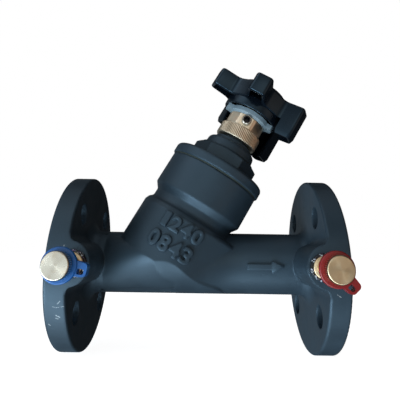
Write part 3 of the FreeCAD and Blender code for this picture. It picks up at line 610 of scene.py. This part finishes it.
def flow_arrow():
    """Cast arrow on the front of the outlet pipe, pointing with the flow."""
    clear_selection()
    bpy.ops.mesh.primitive_cube_add(size=1.0, location=(129.6 * MM, -20.5 * MM, -1.6 * MM))
    obj = bpy.context.object
    obj.scale = (16.0 * MM, 2.8 * MM, 4.0 * MM)
    bpy.ops.object.transform_apply(location=True, rotation=False, scale=True)
    pick_faces(obj, lambda centre, normal: normal.x > 0.9)
    bpy.ops.object.mode_set(mode="EDIT")
    bpy.ops.mesh.extrude_region_move(TRANSFORM_OT_translate={"value": (0.4 * MM, 0, 0)})
    bpy.ops.transform.resize(value=(1, 1, 2.0))
    bpy.ops.mesh.extrude_region_move(TRANSFORM_OT_translate={"value": (7.8 * MM, 0, 0.2 * MM)})
    bpy.ops.transform.resize(value=(1, 1, 0.14))
    bpy.ops.object.mode_set(mode="OBJECT")
    edge = obj.modifiers.new("soft edges", "BEVEL")
    edge.width = 0.55 * MM
    edge.segments = 3
    apply_modifiers(obj)
    settle(obj, Matrix.Identity(4), "flow_arrow")
    dress(obj, casting, "casting", 60)


def knurled_band(name, place, radius, low, high, ridges, slant, finish, body):
    """Knurl over a turned band: ridges with their ends chamfered down to the band."""
    clear_selection()
    middle = (low + high) / 2
    bpy.ops.mesh.primitive_cylinder_add(vertices=2 * ridges, radius=radius + 0.02 * MM,
                                        depth=high - low - 1.0 * MM, end_fill_type="NOTHING",
                                        location=(0, 0, middle))
    obj = bpy.context.object
    bpy.ops.object.transform_apply(location=True, rotation=False, scale=False)
    step = math.pi / ridges
    pick_points(obj, lambda co: round(math.atan2(co.y, co.x) / step) % 2 == 0)
    bpy.ops.object.mode_set(mode="EDIT")
    crest = (radius + KNURL_RISE) / radius
    bpy.ops.transform.resize(value=(crest, crest, 1), center_override=(0, 0, 0))
    for side in (1, -1):
        bpy.ops.object.mode_set(mode="OBJECT")
        pick_points(obj, lambda co: (co.z - middle) * side > 0)
        bpy.ops.object.mode_set(mode="EDIT")
        bpy.ops.mesh.select_mode(type="VERT")
        if slant:
            bpy.ops.transform.rotate(value=side * slant / 2, orient_axis="Z", center_override=(0, 0, 0))
        bpy.ops.mesh.extrude_edges_move(TRANSFORM_OT_translate={"value": (0, 0, side * KNURL_CHAMFER)})
        inner = (radius - 0.1 * MM) / (radius + 0.12 * MM)
        bpy.ops.transform.resize(value=(inner, inner, 1), center_override=(0, 0, 0))
    bpy.ops.mesh.select_all(action="SELECT")
    bpy.ops.mesh.normals_make_consistent(inside=False)
    bpy.ops.object.mode_set(mode="OBJECT")
    settle(obj, place, name)
    dress(obj, finish, body, 20)


def lobe_side(centre, lobe):
    """How far a place lies out along a lobe, and how far to its side."""
    angle = WHEEL_TURN + lobe * LOBE_STEP
    out = centre.x * math.cos(angle) + centre.y * math.sin(angle)
    side = centre.y * math.cos(angle) - centre.x * math.sin(angle)
    return out, side


def on_lobe(place, lobe):
    out, side = lobe_side(place, lobe)
    return out > 0 and abs(side) < out * math.tan(LOBE_STEP / 2)


def wheel_shell():
    """Five narrow hollow lobes on a drum, with walls that hang below the lobes away from the test points."""
    clear_selection()
    bpy.ops.mesh.primitive_cylinder_add(vertices=2 * LOBES, radius=VALLEY_R, depth=WHEEL_TOP - WHEEL_LOW,
                                        location=(0, 0, (WHEEL_LOW + WHEEL_TOP) / 2),
                                        rotation=(0, 0, WHEEL_TURN - FLAT_ANGLE))
    obj = bpy.context.object
    bpy.ops.object.transform_apply(location=True, rotation=True, scale=False)
    flat = VALLEY_R * math.cos(math.pi / (2 * LOBES))
    reach = LOBE_REACH - flat
    for lobe in range(LOBES):
        angle = WHEEL_TURN + lobe * LOBE_STEP
        pick_faces(obj, lambda centre, normal: abs(normal.z) < 0.1
                   and lobe_side(centre, lobe)[0] > 0.97 * flat)
        bpy.ops.object.mode_set(mode="EDIT")
        bpy.ops.mesh.extrude_region_move(TRANSFORM_OT_translate={
            "value": (reach * math.cos(angle), reach * math.sin(angle), 0)})
        bpy.ops.transform.resize(value=(LOBE_TAPER, LOBE_TAPER, 1))
        bpy.ops.object.mode_set(mode="OBJECT")
    bpy.ops.object.mode_set(mode="EDIT")
    bpy.ops.mesh.select_all(action="SELECT")
    bpy.ops.mesh.dissolve_limited(angle_limit=math.radians(1))
    bpy.ops.object.mode_set(mode="OBJECT")
    round_edges(obj, LOBE_CORNER, lambda first, second: abs(first.z - second.z) > 10 * MM)
    round_edges(obj, TOP_ROUNDING, lambda first, second: min(first.z, second.z) > WHEEL_TOP - 0.5 * MM)
    round_edges(obj, FOOT_ROUNDING, lambda first, second: max(first.z, second.z) < WHEEL_LOW + 0.1 * MM
                and any(on_lobe((first + second) / 2, lobe) for lobe in OPEN_LOBES))
    pick_faces(obj, lambda centre, normal: normal.z < -0.9)
    bpy.ops.object.mode_set(mode="EDIT")
    bpy.ops.mesh.inset(thickness=WHEEL_WALL, depth=0)
    bpy.ops.mesh.extrude_region_move(TRANSFORM_OT_translate={"value": (0, 0, HOLLOW_DEPTH)})
    bpy.ops.object.mode_set(mode="OBJECT")
    for lobe, drop in HANGING_WALLS:
        def under(centre, normal):
            out, side = lobe_side(centre, lobe)
            on_foot = normal.z < -0.9 and centre.z < WHEEL_LOW + 1.5 * MM
            return on_foot and out > 25 * MM and abs(side) < 9 * MM

        pick_faces(obj, under)
        bpy.ops.object.mode_set(mode="EDIT")
        bpy.ops.mesh.extrude_region_move(TRANSFORM_OT_translate={"value": (0, 0, -drop + 3 * MM)})
        bpy.ops.mesh.extrude_region_move(TRANSFORM_OT_translate={"value": (0, 0, -3 * MM)})
        bpy.ops.transform.resize(value=(LOBE_TAPER, LOBE_TAPER, 1))
        bpy.ops.object.mode_set(mode="OBJECT")
    return obj


def turned_tube(name, outer, wall, low, high, low_scale=1.0):
    """Round wall with an open middle, narrowed at its foot by low_scale."""
    clear_selection()
    bpy.ops.mesh.primitive_cylinder_add(vertices=96, radius=outer, depth=high - low, end_fill_type="NOTHING",
                                        location=(0, 0, (low + high) / 2))
    obj = bpy.context.object
    bpy.ops.object.transform_apply(location=True, rotation=False, scale=False)
    pick_points(obj, lambda co: co.z < (low + high) / 2)
    bpy.ops.object.mode_set(mode="EDIT")
    bpy.ops.transform.resize(value=(low_scale, low_scale, 1), center_override=(0, 0, 0))
    bpy.ops.object.mode_set(mode="OBJECT")
    thick = obj.modifiers.new("wall", "SOLIDIFY")
    thick.thickness = wall
    thick.offset = -1
    edge = obj.modifiers.new("edges", "BEVEL")
    edge.width = 0.6 * MM
    edge.segments = 3
    edge.limit_method = "ANGLE"
    apply_modifiers(obj)
    obj.name = name
    return obj


def handwheel():
    """The moulded wheel: lobed shell, skirt under its drum, hub for the stem and raised crown."""
    shell = wheel_shell()
    skirt = turned_tube("skirt", DRUM_R, SKIRT_WALL, WHEEL_LOW - SKIRT_DROP, WHEEL_LOW + 2.5 * MM, 0.995)
    hub = turned_tube("hub", HUB_R, HUB_R / 2, WHEEL_LOW, WHEEL_TOP - WHEEL_WALL)
    crown = turned_tube("crown", CROWN_R, 6.0 * MM, WHEEL_TOP - 1.0 * MM, WHEEL_TOP + CROWN_UP, 1.2)
    wheel = joined([shell, skirt, hub, crown], "handwheel_moulding")
    settle(wheel, BONNET, "handwheel_moulding")
    dress(wheel, wheel_black, "wheel", 35)
    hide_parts("handwheel")


def sealant_bead(name, x, seed):
    """Thread sealant squeezed out round the foot of a test nipple."""
    clear_selection()
    bpy.ops.mesh.primitive_torus_add(major_radius=NIPPLE_FOOT_R, minor_radius=BEAD_R, major_segments=64,
                                     minor_segments=14, location=(0, 0, FLANGE_R + 0.2 * MM))
    obj = bpy.context.object
    bpy.ops.object.transform_apply(location=True, rotation=False, scale=False)
    bpy.ops.object.mode_set(mode="EDIT")
    bpy.ops.mesh.select_all(action="SELECT")
    bpy.ops.transform.vertex_random(offset=0.45 * MM, uniform=0.3, normal=0.6, seed=seed)
    bpy.ops.mesh.vertices_smooth(factor=0.5, repeat=2)
    bpy.ops.object.mode_set(mode="OBJECT")
    finer = obj.modifiers.new("finer", "SUBSURF")
    finer.levels = 1
    apply_modifiers(obj)
    settle(obj, on_test_point(x), name)
    dress(obj, thread_sealant, "casting", 80)


NUMERAL_ROWS = (
    ("upper", "1240", 21.6 * MM, 31.4 * MM, (-107.5, -95.0, -82.0, -68.5)),
    ("lower", "0843", 7.6 * MM, 18.2 * MM, (-108.5, -95.5, -82.5, -69.0)),
)
for row_name, figures, low, high, azimuths in NUMERAL_ROWS:
    for place, (figure, azimuth) in enumerate(zip(figures, azimuths)):
        width = ONE_WIDTH if figure == "1" else FIGURE_WIDTH
        raised_numeral(figure, "numeral_{}_{}".format(row_name, place + 1), azimuth, low, high, width)
flow_arrow()
handwheel()
knurled_band("collar_knurl", BONNET, COLLAR_R, BAND_LOW + 0.5 * MM, BAND_HIGH - 0.5 * MM, 78, math.radians(4),
             collar_brass, "casting")
TEST_POINTS = (("inlet", TEST_X, inlet_brass, 3), ("outlet", LENGTH - TEST_X, outlet_brass, 8))
for end_name, x, finish, seed in TEST_POINTS:
    knurled_band(end_name + "_cap_knurl", on_test_point(x), CAP_R, CAP_RIM_LOW + 0.4 * MM, CAP_END - 0.5 * MM,
                 42, 0.0, finish, end_name + "_cap")
    sealant_bead(end_name + "_sealant", x, seed)


# Camera, floor and light.
# The photograph's frame and its focal length, both in its pixels, and the width of the sensor in millimetres.
FRAME_PX = 400.0
FOCAL_PX = 410.6
SENSOR = 36.0


def camera():
    """The photograph's view, solved from the flange rims, with the picture shifted down."""
    yaw, pitch, roll = (math.radians(a) for a in (-0.49, 14.02, -0.89))
    turn = Matrix.Rotation(yaw, 3, "Z") @ Matrix.Rotation(pitch, 3, "X") @ Matrix.Rotation(roll, 3, "Y")
    right, forward, up = turn.col[0], turn.col[1], turn.col[2]
    data = bpy.data.cameras.new("view")
    data.sensor_width = SENSOR
    data.lens = FOCAL_PX * SENSOR / FRAME_PX
    data.shift_x = -0.015
    data.shift_y = -0.1325
    data.clip_start = 0.01
    obj = bpy.data.objects.new("view", data)
    scene.collection.objects.link(obj)
    place = Matrix.Identity(4)
    for row in range(3):
        place[row][0] = right[row]
        place[row][1] = up[row]
        place[row][2] = -forward[row]
    place.translation = Vector((91.05 * MM, -300.45 * MM, 9.01 * MM))
    obj.matrix_world = place
    scene.camera = obj


def area_lamp(name, place, target, size, power, colour=(1, 1, 1)):
    """Soft rectangular lamp that points at the target."""
    data = bpy.data.lights.new(name, "AREA")
    data.shape = "RECTANGLE"
    data.size, data.size_y = size
    data.energy = power
    data.color = colour
    obj = bpy.data.objects.new(name, data)
    obj.location = place
    obj.rotation_euler = (Vector(target) - Vector(place)).to_track_quat("-Z", "Y").to_euler()
    scene.collection.objects.link(obj)


def white_floor():
    """Pale floor that only the camera sees, so that it shows the shadow and lets the low light through."""
    clear_selection()
    bpy.ops.mesh.primitive_plane_add(size=8.0, location=(0.09, 0, -FLANGE_R))
    floor = bpy.context.object
    floor.name = "floor"
    mat, nodes, links, shader = new_material("floor white")
    shader.inputs["Base Color"].default_value = (0.88, 0.89, 0.90, 1)
    shader.inputs["Roughness"].default_value = 0.9
    shader.inputs["Specular IOR Level"].default_value = 0.0
    shader.inputs["Emission Color"].default_value = (1, 1, 1, 1)
    shader.inputs["Emission Strength"].default_value = 0.93
    rays = nodes.new("ShaderNodeLightPath")
    clear = nodes.new("ShaderNodeBsdfTransparent")
    either = nodes.new("ShaderNodeMixShader")
    seen = math_node(nodes, links, "MAXIMUM", rays.outputs["Is Camera Ray"],
                     rays.outputs["Is Transmission Ray"])
    links.new(seen, either.inputs[0])
    links.new(clear.outputs[0], either.inputs[1])
    links.new(shader.outputs[0], either.inputs[2])
    links.new(either.outputs[0], nodes["Material Output"].inputs["Surface"])
    floor.data.materials.append(mat)


# Soft light from round the object: where it comes from, how tight it is, its colour and its level.
GLOWS = [
    ((-0.60, -0.50, -0.62), 4.0, (0.80, 0.93, 1.0), 1.35),
    ((0.10, -0.45, -0.89), 4.0, (0.88, 0.96, 1.0), 0.25),
    ((-0.50, -0.86, 0.05), 16.0, (1.0, 0.99, 0.95), 0.60),
    ((-0.60, 0.80, 0.0), 6.0, (0.85, 0.95, 1.0), 0.22),
    ((0.35, -0.93, 0.08), 40.0, (1.0, 0.80, 0.56), 0.36),
    ((-0.59, -0.42, 0.69), 14.0, (0.98, 0.99, 1.0), 1.25),
    ((0.06, -0.93, 0.36), 26.0, (1.0, 0.93, 0.84), 0.95),
    ((0.84, -0.53, -0.10), 12.0, (1.0, 0.64, 0.44), 0.50),
]


def sky():
    """White to the camera; to the object, a dark room with soft glows, brightest low on the left."""
    world = bpy.data.worlds.new("studio")
    scene.world = world
    world.use_nodes = True
    nodes, links = world.node_tree.nodes, world.node_tree.links
    shown = nodes["Background"]
    rays = nodes.new("ShaderNodeLightPath")
    coords = nodes.new("ShaderNodeTexCoord")
    lit = (0.020, 0.022, 0.024)
    for direction, tightness, colour, level in GLOWS:
        facing = nodes.new("ShaderNodeVectorMath")
        facing.operation = "DOT_PRODUCT"
        links.new(coords.outputs["Generated"], facing.inputs[0])
        facing.inputs[1].default_value = Vector(direction).normalized()
        towards = math_node(nodes, links, "MAXIMUM", facing.outputs["Value"], 0.0)
        spread = math_node(nodes, links, "POWER", towards, tightness)
        share = math_node(nodes, links, "MULTIPLY", spread, level)
        lit = blend_colour(nodes, links, share, lit, colour, "ADD")
    colour = blend_colour(nodes, links, rays.outputs["Is Camera Ray"], lit, (1.0, 1.0, 1.0))
    links.new(colour, shown.inputs["Color"])
    shown.inputs["Strength"].default_value = 1.0


camera()
white_floor()
sky()
scene.view_settings.view_transform = "Standard"
area_lamp("low left", (-0.52, -0.42, -0.42), (0.07, 0, 0.0), (0.6, 0.35), 5.0, (0.80, 0.92, 1.0))
area_lamp("low front", (-0.02, -0.36, -0.62), (0.10, 0, 0.0), (0.4, 0.25), 1.5, (0.85, 0.95, 1.0))
area_lamp("floor wash", (0.09, -0.2, 1.6), (0.09, 0, 0.0), (1.6, 1.6), 2.5)
